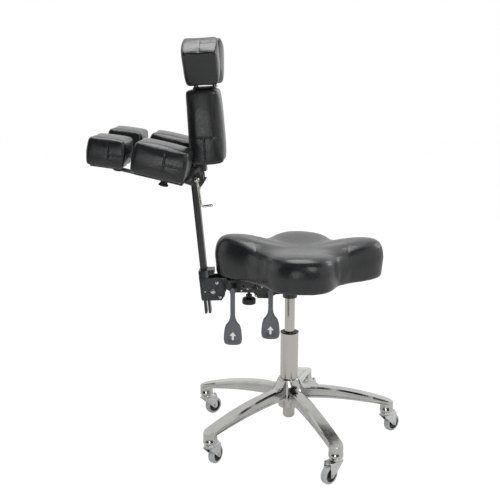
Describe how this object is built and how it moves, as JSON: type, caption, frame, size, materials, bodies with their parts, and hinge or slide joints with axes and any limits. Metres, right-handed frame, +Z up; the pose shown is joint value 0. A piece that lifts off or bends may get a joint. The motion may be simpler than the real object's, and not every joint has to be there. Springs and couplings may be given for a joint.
{
  "type": "tattoo chair",
  "caption": "Height-adjustable artist's chair on a star base with casters, with a lobed seat, a tilting back post, a back pad, split top pads and hinged arm pads.",
  "frame": {"origin": "on the floor, under the middle of the gas lift", "axes": "+X towards the front of the seat, +Y towards the side away from the levers, +Z up"},
  "size_m": [0.8228, 0.598, 1.096],
  "materials": {
    "cast_aluminium": "polished cast",
    "chrome": "bright",
    "zinc_steel": "zinc plated",
    "black_plastic": "moulded",
    "grey_rubber": "smooth",
    "black_steel": "satin powder coat",
    "grey_steel": "zinc plated",
    "grey_plastic": "moulded",
    "plywood": "raw",
    "upholstery": "grained imitation leather"
  },
  "bodies": {
    "base": {"star_base": "cast_aluminium", "lift_tube": "chrome", "tube_bush": "black_plastic", "lift_cap": "chrome", "caster_stems": "zinc_steel"},
    "fork_1": {"caster_fork_1": "zinc_steel"},
    "wheel_1": {"caster_core_1": "black_plastic", "caster_tyre_1": "grey_rubber"},
    "fork_2": {"caster_fork_2": "zinc_steel"},
    "wheel_2": {"caster_core_2": "black_plastic", "caster_tyre_2": "grey_rubber"},
    "fork_3": {"caster_fork_3": "zinc_steel"},
    "wheel_3": {"caster_core_3": "black_plastic", "caster_tyre_3": "grey_rubber"},
    "fork_4": {"caster_fork_4": "zinc_steel"},
    "wheel_4": {"caster_core_4": "black_plastic", "caster_tyre_4": "grey_rubber"},
    "fork_5": {"caster_fork_5": "zinc_steel"},
    "wheel_5": {"caster_core_5": "black_plastic", "caster_tyre_5": "grey_rubber"},
    "piston": {"gas_piston": "chrome"},
    "release": {"release_pin": "chrome"},
    "seat_frame": {"mechanism_housing": "black_steel", "cone_socket": "black_steel", "seat_plate": "black_steel", "seat_board": "plywood", "seat_cushion": "upholstery", "seat_screws": "zinc_steel", "tension_spring": "zinc_steel"},
    "height_lever": {"height_rod": "black_steel", "height_handle": "grey_plastic"},
    "tilt_lever": {"tilt_rod": "black_steel", "tilt_handle": "grey_plastic"},
    "tension_adjuster": {"tension_knob": "black_plastic"},
    "back_bracket": {"bracket_cheeks": "grey_steel", "post_sleeve": "black_steel", "bracket_rivets": "zinc_steel"},
    "post_lock": {"lock_knob": "black_plastic"},
    "upright": {"post": "black_steel"},
    "head": {"head_yoke": "black_steel", "pivot_hardware": "chrome", "back_spine": "black_steel", "back_pad": "upholstery", "top_bracket": "black_steel", "arm_carrier": "black_steel"},
    "head_clamp": {"clamp_lever": "chrome"},
    "near_inner_arm": {"near_inner_plate": "black_steel", "near_inner_pad": "upholstery"},
    "near_arm_lock": {"near_arm_knob": "black_plastic"},
    "near_outer_arm": {"near_outer_plate": "black_steel", "near_outer_pad": "upholstery"},
    "near_top": {"near_top_plate": "black_steel", "near_top_pad": "upholstery"},
    "far_inner_arm": {"far_inner_plate": "black_steel", "far_inner_pad": "upholstery"},
    "far_arm_lock": {"far_arm_knob": "black_plastic"},
    "far_outer_arm": {"far_outer_plate": "black_steel", "far_outer_pad": "upholstery"},
    "far_top": {"far_top_plate": "black_steel", "far_top_pad": "upholstery"}
  },
  "joints": [
    {"name": "caster_swivel_1", "type": "hinge", "parent": "base", "child": "fork_1", "pos_m": [-0.20344, -0.19239, 0.058], "axis": [0, 0, 1], "continuous": true},
    {"name": "wheel_spin_1", "type": "hinge", "parent": "fork_1", "child": "wheel_1", "pos_m": [-0.19217, -0.17119, 0.025], "axis": [-0.8829, 0.4695, 0], "continuous": true},
    {"name": "caster_swivel_2", "type": "hinge", "parent": "base", "child": "fork_2", "pos_m": [0.1201, -0.25293, 0.058], "axis": [0, 0, 1], "continuous": true},
    {"name": "wheel_spin_2", "type": "hinge", "parent": "fork_2", "child": "wheel_2", "pos_m": [0.10343, -0.2702, 0.025], "axis": [0.7193, -0.6947, 0], "continuous": true},
    {"name": "caster_swivel_3", "type": "hinge", "parent": "base", "child": "fork_3", "pos_m": [0.27767, 0.03606, 0.058], "axis": [0, 0, 1], "continuous": true},
    {"name": "wheel_spin_3", "type": "hinge", "parent": "fork_3", "child": "wheel_3", "pos_m": [0.2955, 0.05212, 0.025], "axis": [-0.6691, 0.7431, 0], "continuous": true},
    {"name": "caster_swivel_4", "type": "hinge", "parent": "base", "child": "fork_4", "pos_m": [0.05151, 0.27522, 0.058], "axis": [0, 0, 1], "continuous": true},
    {"name": "wheel_spin_4", "type": "hinge", "parent": "fork_4", "child": "wheel_4", "pos_m": [0.07229, 0.28722, 0.025], "axis": [-0.5, 0.866, 0], "continuous": true},
    {"name": "caster_swivel_5", "type": "hinge", "parent": "base", "child": "fork_5", "pos_m": [-0.24583, 0.13403, 0.058], "axis": [0, 0, 1], "continuous": true},
    {"name": "wheel_spin_5", "type": "hinge", "parent": "fork_5", "child": "wheel_5", "pos_m": [-0.22745, 0.14946, 0.025], "axis": [-0.6428, 0.766, 0], "continuous": true},
    {"name": "lift", "type": "slide", "parent": "base", "child": "piston", "axis": [0, 0, 1], "range_m": [-0.085, 0.02]},
    {"name": "seat_swivel", "type": "hinge", "parent": "piston", "child": "seat_frame", "pos_m": [0, 0, 0.409], "axis": [0, 0, 1], "continuous": true},
    {"name": "release_press", "type": "slide", "parent": "piston", "child": "release", "axis": [0, 0, 1], "range_m": [-0.0056, 0]},
    {"name": "height_lever_turn", "type": "hinge", "parent": "seat_frame", "child": "height_lever", "pos_m": [-0.05, 0, 0.452], "axis": [0, 1, 0], "range_deg": [0, 6], "stiffness_Nm_per_rad": 4, "springref_deg": -2.86},
    {"name": "tilt_lever_turn", "type": "hinge", "parent": "seat_frame", "child": "tilt_lever", "pos_m": [-0.149, 0, 0.452], "axis": [0, 1, 0], "range_deg": [0, 20], "stiffness_Nm_per_rad": 1.2, "springref_deg": -8.59},
    {"name": "tension_turn", "type": "hinge", "parent": "seat_frame", "child": "tension_adjuster", "pos_m": [-0.112, 0, 0.42], "axis": [0, 0, 1], "range_deg": [-360, 360]},
    {"name": "back_tilt", "type": "hinge", "parent": "seat_frame", "child": "back_bracket", "pos_m": [-0.197, 0, 0.453], "axis": [0, 1, 0], "range_deg": [-16, 8]},
    {"name": "post_lock_turn", "type": "hinge", "parent": "back_bracket", "child": "post_lock", "pos_m": [-0.2139, 0, 0.47979], "axis": [0, 1, 0], "range_deg": [-90, 90]},
    {"name": "post_slide", "type": "slide", "parent": "back_bracket", "child": "upright", "axis": [-0.0924, 0, 0.9957], "range_m": [-0.045, 0.05]},
    {"name": "head_tilt", "type": "hinge", "parent": "upright", "child": "head", "pos_m": [-0.247, 0, 0.733], "axis": [0, 1, 0], "range_deg": [-30, 20]},
    {"name": "head_clamp_turn", "type": "hinge", "parent": "head", "child": "head_clamp", "pos_m": [-0.247, -0.0274, 0.733], "axis": [0, 1, 0], "range_deg": [-50, 60]},
    {"name": "near_arm_swing", "type": "hinge", "parent": "head", "child": "near_inner_arm", "pos_m": [-0.318, -0.118, 0.753], "axis": [0.225, 0, 0.9744], "range_deg": [-15, 4]},
    {"name": "near_arm_lock_turn", "type": "hinge", "parent": "near_inner_arm", "child": "near_arm_lock", "pos_m": [-0.3216, -0.118, 0.73741], "axis": [0.225, 0, 0.9744], "range_deg": [-180, 180]},
    {"name": "near_outer_swing", "type": "hinge", "parent": "near_inner_arm", "child": "near_outer_arm", "pos_m": [-0.43687, -0.118, 0.78044], "axis": [0.225, 0, 0.9744], "range_deg": [-10, 10]},
    {"name": "far_arm_swing", "type": "hinge", "parent": "head", "child": "far_inner_arm", "pos_m": [-0.318, 0.118, 0.753], "axis": [0.225, 0, 0.9744], "range_deg": [-4, 15]},
    {"name": "far_arm_lock_turn", "type": "hinge", "parent": "far_inner_arm", "child": "far_arm_lock", "pos_m": [-0.3216, 0.118, 0.73741], "axis": [0.225, 0, 0.9744], "range_deg": [-180, 180]},
    {"name": "far_outer_swing", "type": "hinge", "parent": "far_inner_arm", "child": "far_outer_arm", "pos_m": [-0.43687, 0.118, 0.78044], "axis": [0.225, 0, 0.9744], "range_deg": [-10, 10]},
    {"name": "near_top_fold", "type": "hinge", "parent": "head", "child": "near_top", "pos_m": [-0.22563, -0.024, 0.98493], "axis": [0.9987, 0, 0.0506], "range_deg": [0, 22]},
    {"name": "far_top_fold", "type": "hinge", "parent": "head", "child": "far_top", "pos_m": [-0.22563, 0.024, 0.98493], "axis": [0.9987, 0, 0.0506], "range_deg": [-22, 0]}
  ],
  "couplings": [
    {"joint": "release_press", "follows": "height_lever_turn", "m_per_rad": -0.05}
  ]
}
